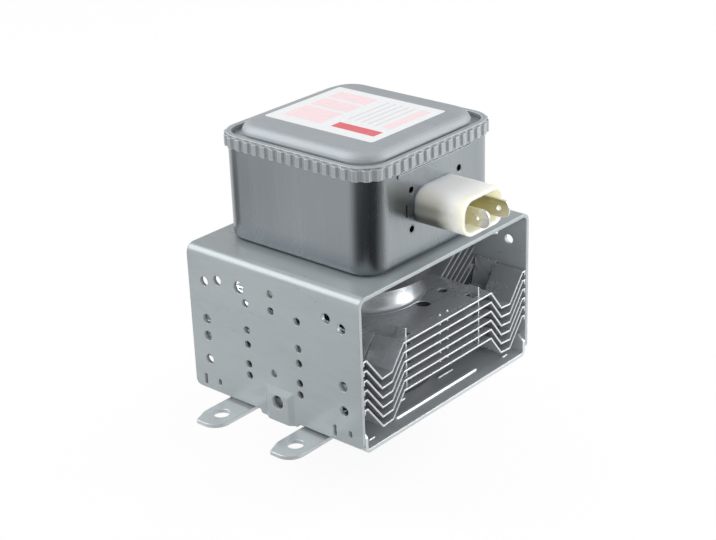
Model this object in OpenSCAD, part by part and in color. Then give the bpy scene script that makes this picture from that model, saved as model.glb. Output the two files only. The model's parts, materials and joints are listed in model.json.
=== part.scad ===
// Microwave oven magnetron: folded steel yoke, folded cooling fins, vacuum tube and filter box.
// The origin is on the tube axis, on the lower face of the mounting plate. +Z points to the
// filter box, the aerial points to -Z, cooling air flows along Y and the connector faces -Y.

/* [Yoke] */
// Width of the yoke across its two side plates
yoke_w = 95; // [90:0.5:104]
// Depth of the yoke along the air flow
yoke_d = 79.2; // [77:0.2:84]
// Height of the yoke, from the edge of its side plates to its top
yoke_h = 54.9; // [54.5:0.1:60]
// Thickness of the yoke steel
yoke_t = 1.4; // [1:0.1:1.8]
// Outside radius of the two bends of the yoke
yoke_bend = 3.5; // [2.5:0.1:5]
// Diameter of the larger holes in the side plates
side_hole_d = 3.7; // [2:0.1:4]
// Diameter of the smaller holes in the side plates
small_hole_d = 2.9; // [1.5:0.1:3.5]

/* [Mounting plate] */
// Thickness of the mounting plate
plate_t = 1.4; // [1:0.1:2]
// Gap between the feet and the edge of the yoke's side plates
foot_gap = 1.1; // [0.6:0.1:2]
// Height of the flanges turned up inside the side plates
plate_flange_h = 8.5; // [7:0.1:11]
// Outside radius of the bends of the mounting plate
plate_bend = 2.4; // [2.2:0.1:3.4]
// Width of a foot
foot_w = 12; // [10:0.5:14]
// Length of a foot beyond the yoke
foot_reach = 18; // [16:0.5:24]
// Diameter of the bolt hole in a foot
foot_hole_d = 6; // [4:0.1:6.4]
// Distance between the bolt holes across the yoke
foot_span_x = 114; // [112:0.2:118]
// Distance between the bolt holes along the air flow
foot_span_y = 35.3; // [34:0.1:42]
// Outward step of the pressed boss at the foot of each side plate
boss_out = 1.2; // [0.8:0.1:1.3]

/* [Magnets] */
// Outside diameter of a ring magnet
magnet_d = 51; // [44:1:51]
// Bore of a ring magnet
magnet_bore = 21.2; // [20.6:0.2:26]
// Thickness of a ring magnet
magnet_t = 13; // [10:0.5:13]

/* [Cooling fins] */
// Thickness of the fin sheet
fin_t = 0.6; // [0.4:0.05:0.8]
// Distance from one fin to the next
fin_pitch = 3.6; // [3.2:0.1:3.8]
// Half length of the flat middle of a fin
fin_flat = 24.9; // [23.5:0.1:26]
// Depth of the trough folded at the ends of a fin
fin_trough = 8.6; // [7:0.1:9]
// Distance of the fin edges inside the open sides of the yoke
fin_inset = 0.1; // [0:0.1:2]
// Distance of the fin ends from the side plates
fin_end_gap = 0.15; // [0.05:0.05:0.4]

/* [Filter box] */
// Width of the drawn case
case_w = 68.8; // [66:0.2:76]
// Depth of the drawn case
case_d = 68.6; // [66:0.2:76]
// Height of the drawn case
case_h = 38.4; // [37:0.1:46]
// Thickness of the case steel
case_t = 0.7; // [0.5:0.1:0.8]
// Radius of the upright corners of the case
case_corner = 9.5; // [8:0.5:12]
// Radius of the drawn edge round the floor of the case
case_foot_bend = 2.4; // [1.6:0.1:3]
// Thickness of the lid steel
lid_t = 0.5; // [0.4:0.05:0.7]
// Height of the fluted skirt of the lid
skirt_h = 4.6; // [4:0.1:7]
// Distance from one flute of the skirt to the next
flute_pitch = 4; // [3.2:0.1:6]
// Depth of a flute
flute_depth = 0.75; // [0.3:0.05:1]
// Depth of the trough between the rim and the raised middle of the lid
lid_trough = 2.4; // [2:0.1:4]
// Height of the raised middle of the lid above the rim
lid_rise = 2.9; // [2.2:0.1:4]
// Radius of the rolled edge of the raised middle
lid_roll = 4; // [2.4:0.1:4.4]

/* [Connector] */
// Width of the connector shroud
shroud_w = 23; // [21:0.2:25]
// Height of the connector shroud
shroud_h = 13.6; // [12.6:0.2:15]
// Corner radius of the connector shroud
shroud_corner = 5.5; // [4:0.1:6]
// Wall of the connector shroud
shroud_wall = 1.2; // [0.8:0.1:1.6]
// Length of the connector shroud outside the case
shroud_len = 20.2; // [16:0.2:26]
// Height of the connector's middle above the floor of the case
shroud_z = 19.1; // [18:0.1:20]
// Distance between the two spade terminals
tab_span = 11; // [10:0.2:12.4]
// Width of a spade terminal
tab_w = 6.3; // [4.8:0.1:6.8]
// Thickness of a spade terminal
tab_t = 0.8; // [0.5:0.1:1]
// Length of a spade terminal beyond the shroud
tab_reach = 6.3; // [5:0.1:9]

/* [Tube] */
// Outside diameter of the anode shell
anode_d = 38.8; // [36:0.2:39.6]
// Bore of the anode shell
anode_bore = 32.8; // [31:0.2:33.4]
// Height of a vane
vane_h = 9.5; // [9:0.1:10.5]
// Thickness of a vane
vane_t = 1.9; // [1.4:0.1:2.1]
// Radius of the circle round which the vane tips stand
vane_tip_r = 4.6; // [4.4:0.1:5]
// Outside diameter of the seal necks
neck_d = 19.2; // [18:0.1:19.8]
// Diameter of the ceramic of the aerial
aerial_ceramic_d = 17; // [15:0.5:18]
// Length of the ceramic of the aerial
aerial_ceramic_h = 11.5; // [8:0.5:14]
// Diameter of the aerial cap
cap_d = 15.2; // [14:0.2:16.4]
// Length of the aerial cap
cap_h = 15; // [13:0.5:18]
// Outside diameter of the mesh gasket round the aerial
gasket_d = 33; // [30:0.5:38]
// Thickness of the mesh gasket
gasket_t = 4; // [3:0.2:5]

/* [Hidden] */
$fn = 64;
VANES = 10;
FINS = 6;

// Finishes, as they look in daylight
ZINC = "#a6adb1";
BARE_STEEL = "#9ea3a8";
ALUMINIUM = "#c9ccd0";
FERRITE = "#3a3b3f";
COPPER = "#b87448";
IVORY = "#e6e0c8";
CERAMIC = "#ece8e2";
NICKEL = "#b9b6ae";
TUNGSTEN = "#6a6c70";

fit = 0.1;
through = 1;

// Yoke and mounting plate
half_w = yoke_w / 2;
half_d = yoke_d / 2;
yoke_z = plate_t + foot_gap;
yoke_top = yoke_z + yoke_h;
roof_z = yoke_top - yoke_t;
side_in = half_w - yoke_t;
side_corner = 2;
plate_flat = side_in - plate_bend;
flange_chamfer = 2.4;
foot_relief = 1;
foot_edge = 4;
foot_round = 6;
foot_clip_x = 6;
foot_clip_y = 2.2;
neck_hole_d = neck_d + 1;
boss_y = 2.1;
boss_flat = 4.6;
boss_slope = 2.2;
boss_top = 11.2;
boss_hole_d = 5;
boss_hole_z = 6.2;
tongue_y = 1.5;
tongue_w = 17.8;
tongue_drop = 1.5;
tongue_round = 1;
rib_len = 46.8;
rib_w = 2.2;
rib_h = 0.7;
rib_y = 33.3;
short_rib_len = 3.2;
short_rib_x = 38.5;
short_rib_y = 35.5;
stop_rib_x = 13.9;
stop_rib_len = 8.8;
stop_rib_y = magnet_d / 2 + 1.1;

// Holes of a side plate, as distance along the air flow and height above the plate's edge
column_y = 12;
column_z = [11.8, 16.2, 23.8, 29.4, 39.6];
edge_column_y = 31.8;
edge_column_z = [12.2, 21.4, 42.6];
middle_z = [16.2, 40.1, 46.3];
top_row_y = 25.2;
top_row_z = 44.6;
lone_holes = [[31.7, 28.1]];
earth_hole = [14.8, 44.8, 4.6];
slot_w = 1.5;
slot_len = 4.4;
slot_z = 3.4;
slot_y = [34.5, -27.3];
nick_w = 1.6;
nick_len = 2.6;
nick_y = [27.4, -34.2];
nick_z = 4.1;

// Magnets and anode
lower_magnet_z = plate_t;
upper_magnet_z = roof_z - magnet_t;
flange_t = 0.5;
anode_z = lower_magnet_z + magnet_t + flange_t;
anode_top = upper_magnet_z - flange_t;
anode_mid = (anode_z + anode_top) / 2;
anode_r = anode_d / 2;
bore_r = anode_bore / 2;
pole_seat_r = bore_r + 0.8;
pole_seat = 2.2;

// Fins
fin_half_d = half_d - fin_inset;
fin_z = anode_z + fin_t / 2;
fin_reach = side_in - fin_end_gap;
wing_slit = 0.5;
front_wing = 12.3;
side_wing = 9.4;
middle_wing = fin_half_d - front_wing - side_wing - 2 * wing_slit;
middle_rise = 16.2;
wing_peak = 1.2;
wing_hook = 1.5;
trough_floor = 5.2;
trough_run = 6.3;
trough_fall = 0.4;
side_wing_lean = 3;
side_wing_rise = 2.2;
collar_r = anode_r + fit / 2;
collar_h = fin_pitch - fin_t - fit;
collar_fillet = 2.6;
collar_lip = 0.25;
spacer_x = 20.3;
spacer_y = 2.5;
spacer_len = 4;
spacer_h = fin_pitch - fin_t - fit / 2;
large_vent = [3.2, 25.6, 5.2];
small_vent = [16.1, 24.2, 3.6];
pip_x = [-0.9, 3.4];
pip_y = 3.6;
pip_r = 0.7;
pip_h = 0.6;

// Filter box
case_x = case_w / 2;
case_y = case_d / 2;
case_z = yoke_top;
case_top = case_z + case_h;
rim_top = case_top + lid_t;
rivet_x = 26;
rivet_d = 3.2;
rivet_head_d = 6;
rivet_head = 1;
skirt_x = case_x + fit + lid_t;
skirt_y = case_y + fit + lid_t;
skirt_corner = case_corner + fit + lid_t;
flute_shoulder = 0.7;
rim_draw = 0.1;
lid_wall_x = case_x - case_t - fit;
lid_wall_y = case_y - case_t - fit;
lid_wall_corner = case_corner - case_t - fit;
plateau_inset = 1.5;
plateau_lean = 0.7;
plateau_corner = case_corner + 2;
plateau_x = lid_wall_x - plateau_inset;
plateau_y = lid_wall_y - plateau_inset;
bead_len = 40;
bead_w = 1.5;
bead_h = 0.4;
bead_z = rim_top - skirt_h - 1.9;

// Connector and feed-through capacitor
front_out = -case_y;
front_in = front_out + case_t;
terminal_z = case_z + shroud_z;
mouth_y = front_out - shroud_len;
tab_tip_y = mouth_y - tab_reach;
eyelet_x = 13;
eyelet_z = 7;
eyelet_d = 3.2;
eyelet_bore = 2.4;
flange_w = 34;
flange_h = 20;
flange_sheet = 0.8;
flange_corner = 4;
flange_back = front_in + flange_sheet;
shroud_lip = 1.5;
shroud_floor = 3;
shroud_in = flange_back + 1.4;
shroud_plug_w = shroud_w - 2 * shroud_lip;
shroud_plug_h = shroud_h - 2 * shroud_lip;
catch_x = 15.5;
catch_w = 0.8;
catch_len = 4.2;
capacitor_w = 24;
capacitor_h = 11.6;
capacitor_len = 7.5;
capacitor_back = shroud_in + capacitor_len;
tab_tail = 3.5;
tab_end_y = capacitor_back + tab_tail;
tab_nose = 2.6;
tab_hole_d = 1.9;
tab_hole_back = 4;

// Chokes
wire_r = 0.7;
coil_r = 4.2;
coil_x = 17;
coil_z = terminal_z + 1;
coil_turns = 9;
coil_pitch = 1.8;
coil_start_y = -6;
coil_end_y = coil_start_y + coil_turns * coil_pitch;
core_d = 2 * (coil_r - wire_r) - 0.6;
core_over = 2.5;
ring_steps = 10;
wire_sides = 6;

// Cathode, stem and aerial
neck_r = neck_d / 2;
neck_wall = 0.6;
neck_lip = 2.4;
neck_stand = 2.4;
cathode_neck_top = case_z + case_t + neck_stand;
stem_h = 13;
stem_inset = 1;
stem_r = neck_r - stem_inset;
stem_top = cathode_neck_top + stem_h;
stem_plate_t = 0.8;
stem_plate_len = 5.4;
stem_plate_w = 9;
side_lead_x = 2.7;
lead_r = 0.6;
hat_r = 3.5;
hat_t = 1;
vane_z = anode_mid - vane_h / 2;
vane_top = vane_z + vane_h;
filament_r = 1.9;
filament_wire_r = 0.25;
filament_turns = 8;
lower_hat_top = vane_z - 0.2;
upper_hat_z = vane_top + 0.2;
pole_gap = 2.2;
pole_hole_r = 4.7;
pole_nose_r = 7.4;
pole_t = 1.6;
strap_t = 1;
strap_w = 1;
inner_strap_r = 6.4;
outer_strap_r = 8.4;
strap_depth = 1.4;
strap_clear = 0.4;
aerial_neck_z = -2.5;
aerial_ceramic_z = aerial_neck_z - aerial_ceramic_h;
cap_z = aerial_ceramic_z - cap_h;
cap_r = cap_d / 2;
cap_wall = 0.6;
cap_round = 3;
exhaust_r = 4;
exhaust_wall = 0.8;
exhaust_clear = 3;
exhaust_len = cap_h - exhaust_clear;
pinch_h = 3;
aerial_lead_w = 2.4;
aerial_lead_t = 1;
aerial_lead_x = 6.6;
aerial_bend_z = anode_z - 2.2;
aerial_axis_z = aerial_bend_z - 8;
retainer_r = neck_r + 2.4;
retainer_wall = 0.6;
retainer_flange = 2.2;

// Outlines and sheets

function arc(centre, r, from, to, steps) =
    [for (i = [0:steps])
        let (a = from + (to - from) * i / steps)
        centre + r * [cos(a), sin(a)]];

function backwards(points) = [for (i = [len(points) - 1:-1:0]) points[i]];

function left_of(a, b) = [a.y - b.y, b.x - a.x] / norm(b - a);

// A line of points moved sideways, with mitred corners
function beside(points, distance) =
    let (last = len(points) - 1)
    [for (i = [0:last])
        let (before = left_of(points[max(i - 1, 0)], points[max(i, 1)]),
             after = left_of(points[min(i, last - 1)], points[min(i + 1, last)]))
        points[i] + distance * (before + after) / (1 + before * after)];

// The section of a sheet that is folded along a line of points
function folded(points, t) = concat(beside(points, t / 2), backwards(beside(points, -t / 2)));

module rounded(half_x, half_y, r) {
    square([2 * half_x, 2 * (half_y - r)], center = true);
    square([2 * (half_x - r), 2 * half_y], center = true);
    for (x = [-1, 1], y = [-1, 1])
        translate([x * (half_x - r), y * (half_y - r)])
            circle(r);
}

// Carries a section, drawn as distance outward and height, round a rounded rectangle
module around(half_x, half_y, r) {
    for (side = [-1, 1]) {
        translate([side * half_x, 0, 0])
            rotate([90, 0, 90 - 90 * side])
                linear_extrude(2 * (half_y - r), center = true)
                    children();
        translate([0, side * half_y, 0])
            rotate([90, 0, 90 * side])
                linear_extrude(2 * (half_x - r), center = true)
                    children();
    }
    for (quarter = [0:3]) {
        turn = 90 * quarter;
        x = (quarter == 0 || quarter == 3) ? 1 : -1;
        y = quarter < 2 ? 1 : -1;
        translate([x * (half_x - r), y * (half_y - r), 0])
            rotate([0, 0, turn])
                rotate_extrude(angle = 90)
                    translate([r, 0])
                        children();
    }
}

// Place and outward direction at a distance along a rounded rectangle
function lap(half_x, half_y, r) = 4 * (half_x + half_y - 2 * r) + 2 * PI * r;

function along(s, half_x, half_y, r) =
    let (up = 2 * (half_y - r), over = 2 * (half_x - r), bend = PI * r / 2)
    s < up ? [[half_x, s - half_y + r], [1, 0]] :
    s < up + bend ? corner_at(s - up, [half_x - r, half_y - r], r, 0) :
    s < up + bend + over ? [[half_x - r - (s - up - bend), half_y], [0, 1]] :
    s < up + 2 * bend + over ? corner_at(s - up - bend - over, [r - half_x, half_y - r], r, 90) :
    s < 2 * up + 2 * bend + over ? [[-half_x, half_y - r - (s - up - 2 * bend - over)], [-1, 0]] :
    s < 2 * up + 3 * bend + over
        ? corner_at(s - 2 * up - 2 * bend - over, [r - half_x, r - half_y], r, 180) :
    s < 2 * up + 3 * bend + 2 * over ? [[r - half_x + s - 2 * up - 3 * bend - over, -half_y], [0, -1]] :
    corner_at(s - 2 * up - 3 * bend - 2 * over, [half_x - r, r - half_y], r, 270);

function corner_at(s, centre, r, from) =
    let (turn = from + s / r * 180 / PI, out = [cos(turn), sin(turn)])
    [centre + r * out, out];

module at_corners(x, y) {
    for (i = [-1, 1], j = [-1, 1])
        translate([i * x, j * y, 0])
            children();
}

module tube(r, wall, h) {
    difference() {
        cylinder(r = r, h = h);
        translate([0, 0, -through])
            cylinder(r = r - wall, h = h + 2 * through);
    }
}

// Wire swept along points, carried without twist from ring to ring

function unit(v) = v / norm(v);

function tangent(path, i) = unit(path[min(i + 1, len(path) - 1)] - path[max(i - 1, 0)]);

function square_on(v, t) = unit(v - (v * t) * t);

function side_ways(path, i = 0, found = []) =
    i == len(path) ? found :
    let (t = tangent(path, i),
         start = abs(t.z) < 0.9 ? [0, 0, 1] : [1, 0, 0],
         n = i == 0 ? square_on(start, t) : square_on(found[i - 1], t))
    side_ways(path, i + 1, concat(found, [n]));

module wire(path, r, sides) {
    rings = len(path);
    normals = side_ways(path);
    points = [for (i = [0:rings - 1], k = [0:sides - 1])
        let (t = tangent(path, i), n = normals[i], b = cross(t, n), a = 360 * k / sides)
        path[i] + r * (cos(a) * n + sin(a) * b)];
    walls = [for (i = [0:rings - 2], k = [0:sides - 1], upper = [true, false])
        let (low = i * sides, high = low + sides, next = (k + 1) % sides)
        upper ? [low + k, high + k, high + next] : [low + k, high + next, low + next]];
    start = [[for (k = [0:sides - 1]) k]];
    end = [[for (k = [sides - 1:-1:0]) (rings - 1) * sides + k]];
    polyhedron(points, concat(start, walls, end), convexity = 10);
}

// Yoke and mounting plate

module yoke_section(half, top, r) {
    translate([-half, yoke_z - through])
        square([2 * half, top - r - yoke_z + through]);
    translate([r - half, yoke_z - through])
        square([2 * (half - r), top - yoke_z + through]);
    for (x = [-1, 1])
        translate([x * (half - r), top - r])
            circle(r);
}

// The pressed boss: sloped at both sides and at its top, open at the plate's edge
module boss_form() {
    intersection() {
        translate([0, boss_y, yoke_z - tongue_drop])
            linear_extrude(boss_top + tongue_drop)
                polygon([[-through, -boss_flat - boss_slope], [0, -boss_flat - boss_slope],
                         [boss_out, -boss_flat], [boss_out, boss_flat],
                         [0, boss_flat + boss_slope], [-through, boss_flat + boss_slope]]);
        rotate([90, 0, 0])
            linear_extrude(2 * half_d, center = true)
                polygon([[-through, 0], [boss_out, 0], [boss_out, yoke_z + boss_top - boss_slope],
                         [0, yoke_z + boss_top], [-through, yoke_z + boss_top]]);
    }
}

// The tongue between the feet, where the side plate hangs below its edge
module tongue() {
    translate([side_in, tongue_y, yoke_z])
        rotate([90, 0, 90])
            linear_extrude(yoke_t) {
                translate([-tongue_w / 2, tongue_round - tongue_drop])
                    square([tongue_w, tongue_drop + side_corner]);
                translate([tongue_round - tongue_w / 2, -tongue_drop])
                    square([tongue_w - 2 * tongue_round, 2 * tongue_round]);
                for (end = [-1, 1])
                    translate([end * (tongue_w / 2 - tongue_round), tongue_round - tongue_drop])
                        circle(tongue_round);
            }
}

module side_hole(y, z, d) {
    translate([side_in - through, y, yoke_z + z])
        rotate([0, 90, 0])
            cylinder(d = d, h = yoke_t + boss_out + 2 * through);
}

module side_slot(y, z, w, h) {
    for (end = [-1, 1])
        side_hole(y, z + end * (h - w) / 2, w);
    translate([side_in - through, y - w / 2, yoke_z + z - (h - w) / 2])
        cube([yoke_t + 2 * through, w, h - w]);
}

// The side plate at +X, turned by half a turn for the one at -X
module side_holes() {
    for (y = [-1, 1]) {
        for (z = column_z)
            side_hole(y * column_y, z, small_hole_d);
        for (z = edge_column_z)
            side_hole(y * edge_column_y, z, side_hole_d);
        side_hole(y * top_row_y, top_row_z, side_hole_d);
    }
    for (z = middle_z)
        side_hole(0, z, small_hole_d);
    for (place = lone_holes)
        side_hole(-place.x, place.y, side_hole_d);
    side_hole(-earth_hole.x, earth_hole.y, earth_hole.z);
    for (y = slot_y)
        side_slot(-y, slot_z, slot_w, slot_len);
    for (y = nick_y)
        side_slot(-y, nick_z, nick_w, nick_len);
}

module side_corner_cut() {
    translate([-yoke_w, half_d - side_corner, yoke_z + side_corner])
        rotate([0, 90, 0])
            linear_extrude(2 * yoke_w)
                difference() {
                    square(side_corner + through);
                    circle(side_corner);
                }
}

module yoke_bracket() {
    color(ZINC)
    difference() {
        union() {
            rotate([90, 0, 0])
                linear_extrude(yoke_d, center = true)
                    difference() {
                        yoke_section(half_w, yoke_top, yoke_bend);
                        yoke_section(side_in, roof_z, yoke_bend - yoke_t);
                        translate([-yoke_w, -yoke_w])
                            square([2 * yoke_w, yoke_w + yoke_z]);
                    }
            for (turn = [0, 180])
                rotate([0, 0, turn]) {
                    tongue();
                    translate([half_w, 0, 0])
                        boss_form();
                }
        }
        for (turn = [0, 180])
            rotate([0, 0, turn]) {
                translate([side_in, 0, 0])
                    boss_form();
                side_hole(boss_y, boss_hole_z, boss_hole_d);
                side_holes();
                side_corner_cut();
            }
        translate([0, 0, roof_z - through])
            cylinder(d = neck_hole_d, h = yoke_t + 2 * through);
        at_corners(rivet_x, rivet_x)
            translate([0, 0, roof_z - through])
                cylinder(d = rivet_d + fit, h = yoke_t + 2 * through);
    }
}

// A foot: a strip with one rounded and one clipped corner at its tip
module foot_outline() {
    tip = max(half_w + foot_reach, foot_span_x / 2 + foot_hole_d / 2 + foot_edge);
    side = foot_w / 2;
    translate([plate_flat - through, -side])
        square([tip - foot_round - plate_flat + through, foot_w]);
    intersection() {
        union() {
            translate([tip - foot_round, side - foot_round])
                circle(foot_round);
            translate([tip - foot_round, -side])
                square([foot_round, foot_w - foot_round]);
        }
        polygon([[plate_flat, side], [plate_flat, -side], [tip - foot_clip_x, -side],
                 [tip, foot_clip_y - side], [tip, side]]);
    }
}

// Where the flange is cut away beside a foot
module foot_windows() {
    for (y = [-1, 1])
        translate([y * foot_span_y / 2 - foot_w / 2 - foot_relief, -through])
            square([foot_w + 2 * foot_relief, plate_flange_h + 2 * through]);
}

module flange_section() {
    intersection() {
        translate([plate_flat, plate_bend])
            difference() {
                circle(plate_bend);
                circle(plate_bend - plate_t);
            }
        translate([plate_flat, 0])
            square(plate_bend);
    }
    translate([side_in - plate_t, plate_bend])
        square([plate_t, plate_flange_h - plate_bend]);
}

// A flange turned up inside the side plate at +X
module plate_flange() {
    intersection() {
        rotate([90, 0, 0])
            linear_extrude(yoke_d, center = true)
                flange_section();
        translate([plate_flat - through, 0, 0])
            rotate([90, 0, 90])
                linear_extrude(plate_bend + 2 * through)
                    difference() {
                        polygon([[-half_d, 0], [half_d, 0], [half_d, plate_flange_h - flange_chamfer],
                                 [half_d - flange_chamfer, plate_flange_h],
                                 [flange_chamfer - half_d, plate_flange_h],
                                 [-half_d, plate_flange_h - flange_chamfer]]);
                        foot_windows();
                    }
    }
}

// A pressed rib: round at its ends, with sloped sides, rooted in the sheet it is pressed from
module rib(length, w, h, root) {
    intersection() {
        translate([0, 0, -root])
            linear_extrude(h + root) {
                square([length - w, w], center = true);
                for (end = [-1, 1])
                    translate([end * (length - w) / 2, 0])
                        circle(d = w);
            }
        rotate([90, 0, 90])
            linear_extrude(2 * length, center = true)
                polygon([[-w / 2, -root - through], [w / 2, -root - through], [w / 2, 0],
                         [(w - h) / 2, h], [(h - w) / 2, h], [-w / 2, 0]]);
    }
}

module mounting_plate() {
    color(ZINC)
    difference() {
        union() {
            linear_extrude(plate_t) {
                square([2 * plate_flat, yoke_d], center = true);
                for (turn = [0, 180], y = [-1, 1])
                    rotate(turn)
                        translate([0, y * foot_span_y / 2])
                            foot_outline();
            }
            for (turn = [0, 180])
                rotate([0, 0, turn])
                    plate_flange();
            translate([0, 0, plate_t])
                for (y = [-1, 1]) {
                    translate([0, y * rib_y, 0])
                        rib(rib_len, rib_w, rib_h, plate_t / 2);
                    for (x = [-1, 1]) {
                        translate([x * short_rib_x, y * short_rib_y, 0])
                            rib(short_rib_len, rib_w / 2, rib_h / 2, plate_t / 2);
                        translate([x * stop_rib_x, y * stop_rib_y, 0])
                            rib(stop_rib_len, rib_w / 2, rib_h / 2, plate_t / 2);
                    }
                }
        }
        for (x = [-1, 1], y = [-1, 1])
            translate([x * foot_span_x / 2, y * foot_span_y / 2, -through])
                cylinder(d = foot_hole_d, h = plate_t + 2 * through);
        translate([0, 0, -through])
            cylinder(d = neck_hole_d, h = plate_t + 2 * through);
    }
}

module magnet(z) {
    color(FERRITE)
    translate([0, 0, z])
        difference() {
            cylinder(d = magnet_d, h = magnet_t);
            translate([0, 0, -through])
                cylinder(d = magnet_bore, h = magnet_t + 2 * through);
        }
}

// Cooling fins: a flat middle with a drawn collar, and end wings slit into five strips

function trough_wing() =
    [[fin_flat - through, 0], [fin_flat, 0], [fin_flat + trough_run, trough_fall - fin_trough],
     [fin_flat + trough_run + trough_floor, -fin_trough], [fin_reach - wing_hook - fin_t / 2, wing_peak],
     [fin_reach - fin_t / 2, wing_peak], [fin_reach - fin_t / 2, wing_peak - wing_hook]];

function steep_wing() =
    [[fin_flat - through, 0], [fin_flat, 0], [fin_flat + trough_run, trough_fall - fin_trough],
     [fin_reach - side_wing_lean, -fin_trough], [fin_reach - fin_t / 2, side_wing_rise]];

function rising_wing() =
    [[fin_flat - through, 0], [fin_flat, 0], [fin_reach - fin_t, middle_rise]];

module wing(path, from, to) {
    for (side = [0, 1])
        mirror([side, 0, 0])
            translate([0, to, 0])
                rotate([90, 0, 0])
                    linear_extrude(to - from)
                        polygon(folded(path, fin_t));
}

module fin_wings() {
    inner = middle_wing + wing_slit;
    outer = inner + side_wing + wing_slit;
    wing(rising_wing(), -middle_wing, middle_wing);
    for (end = [0, 1])
        mirror([0, end, 0]) {
            wing(steep_wing(), inner, inner + side_wing);
            wing(trough_wing(), outer, fin_half_d);
        }
}

module collar() {
    rotate_extrude()
        difference() {
            translate([collar_r, 0])
                square([collar_lip + collar_fillet, collar_h]);
            translate([collar_r + collar_lip, collar_fillet])
                square([collar_fillet + through, collar_h]);
            translate([collar_r + collar_lip + collar_fillet, collar_fillet])
                circle(collar_fillet);
        }
}

module fin_sheet() {
    linear_extrude(fin_t, center = true)
        difference() {
            square([2 * fin_flat, 2 * fin_half_d], center = true);
            circle(collar_r);
            for (turn = [0, 180])
                rotate(turn) {
                    for (vent = [large_vent, small_vent])
                        translate([vent.x, -vent.y])
                            circle(d = vent.z);
                    for (x = [-1, 1])
                        translate([x * (spacer_x - spacer_h / 2), -fin_half_d + spacer_y + spacer_len / 2])
                            square([spacer_h, spacer_len], center = true);
                }
        }
}

module cooling_fin(level) {
    color(ALUMINIUM)
    translate([0, 0, fin_z + (level - 1) * fin_pitch]) {
        fin_sheet();
        fin_wings();
        translate([0, 0, fin_t / 2])
            collar();
        for (turn = [0, 180])
            rotate([0, 0, turn]) {
                for (x = [-1, 1])
                    translate([x * (spacer_x + fin_t / 2), -fin_half_d + spacer_y + spacer_len / 2,
                               -fin_t / 2])
                        linear_extrude(spacer_h + fin_t)
                            square([fin_t, spacer_len], center = true);
                for (x = pip_x)
                    translate([x, -fin_half_d + pip_y, fin_t / 4])
                        cylinder(r1 = pip_r, r2 = pip_r / 2, h = pip_h);
            }
    }
}

// Filter box

module case_sheet() {
    middle = case_t / 2;
    bend = case_foot_bend - middle;
    section = concat(
        [[-case_corner / 2, case_z + middle]],
        arc([-case_foot_bend, case_z + case_foot_bend], bend, 270, 360, 6),
        [[-middle, case_top]]);
    around(case_x, case_y, case_corner)
        polygon(folded(section, case_t));
    translate([0, 0, case_z])
        linear_extrude(case_t)
            rounded(case_x - case_corner / 2 + fit, case_y - case_corner / 2 + fit, case_corner / 2 + fit);
}

// Shapes cut through the front wall, drawn with the terminals' middle at the origin
module through_front(depth_in, depth_out) {
    translate([0, front_in + depth_in, terminal_z])
        rotate([90, 0, 0])
            linear_extrude(case_t + depth_in + depth_out)
                children();
}

module at_eyelets() {
    for (x = [-1, 1], z = [-1, 1])
        translate([x * eyelet_x, z * eyelet_z])
            children();
}

module filter_case() {
    color(BARE_STEEL)
    difference() {
        union() {
            case_sheet();
            translate([0, front_out, bead_z])
                rotate([90, 0, 0])
                    rib(bead_len, bead_w, bead_h, case_t / 2);
        }
        translate([0, 0, case_z - through])
            cylinder(d = neck_hole_d, h = case_t + 2 * through);
        at_corners(rivet_x, rivet_x)
            translate([0, 0, case_z - through])
                cylinder(d = rivet_d + fit, h = case_t + 2 * through);
        through_front(through, through) {
            rounded(shroud_plug_w / 2 + fit, shroud_plug_h / 2 + fit, shroud_corner - shroud_lip + fit);
            at_eyelets()
                circle(d = eyelet_d + fit);
            for (x = [-1, 1])
                translate([x * catch_x, 0])
                    square([catch_w, catch_len], center = true);
        }
    }
}

// The fluted outline of the skirt: flat crests and flat hollows joined by slopes, all ending below the rim
function flutes(inward) =
    let (whole = lap(skirt_x, skirt_y, skirt_corner),
         count = round(whole / flute_pitch),
         step = whole / count,
         crest = [[0.02, 0], [0.24, 1], [0.6, 1], [0.82, 0]])
    [for (i = [0:count - 1], k = crest)
        let (place = along((i + k.x) * step, skirt_x, skirt_y, skirt_corner))
        place[0] + (k.y * flute_depth - inward) * place[1]];

module skirt_outline(inward) {
    rounded(skirt_x - inward, skirt_y - inward, skirt_corner - inward);
}

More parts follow.
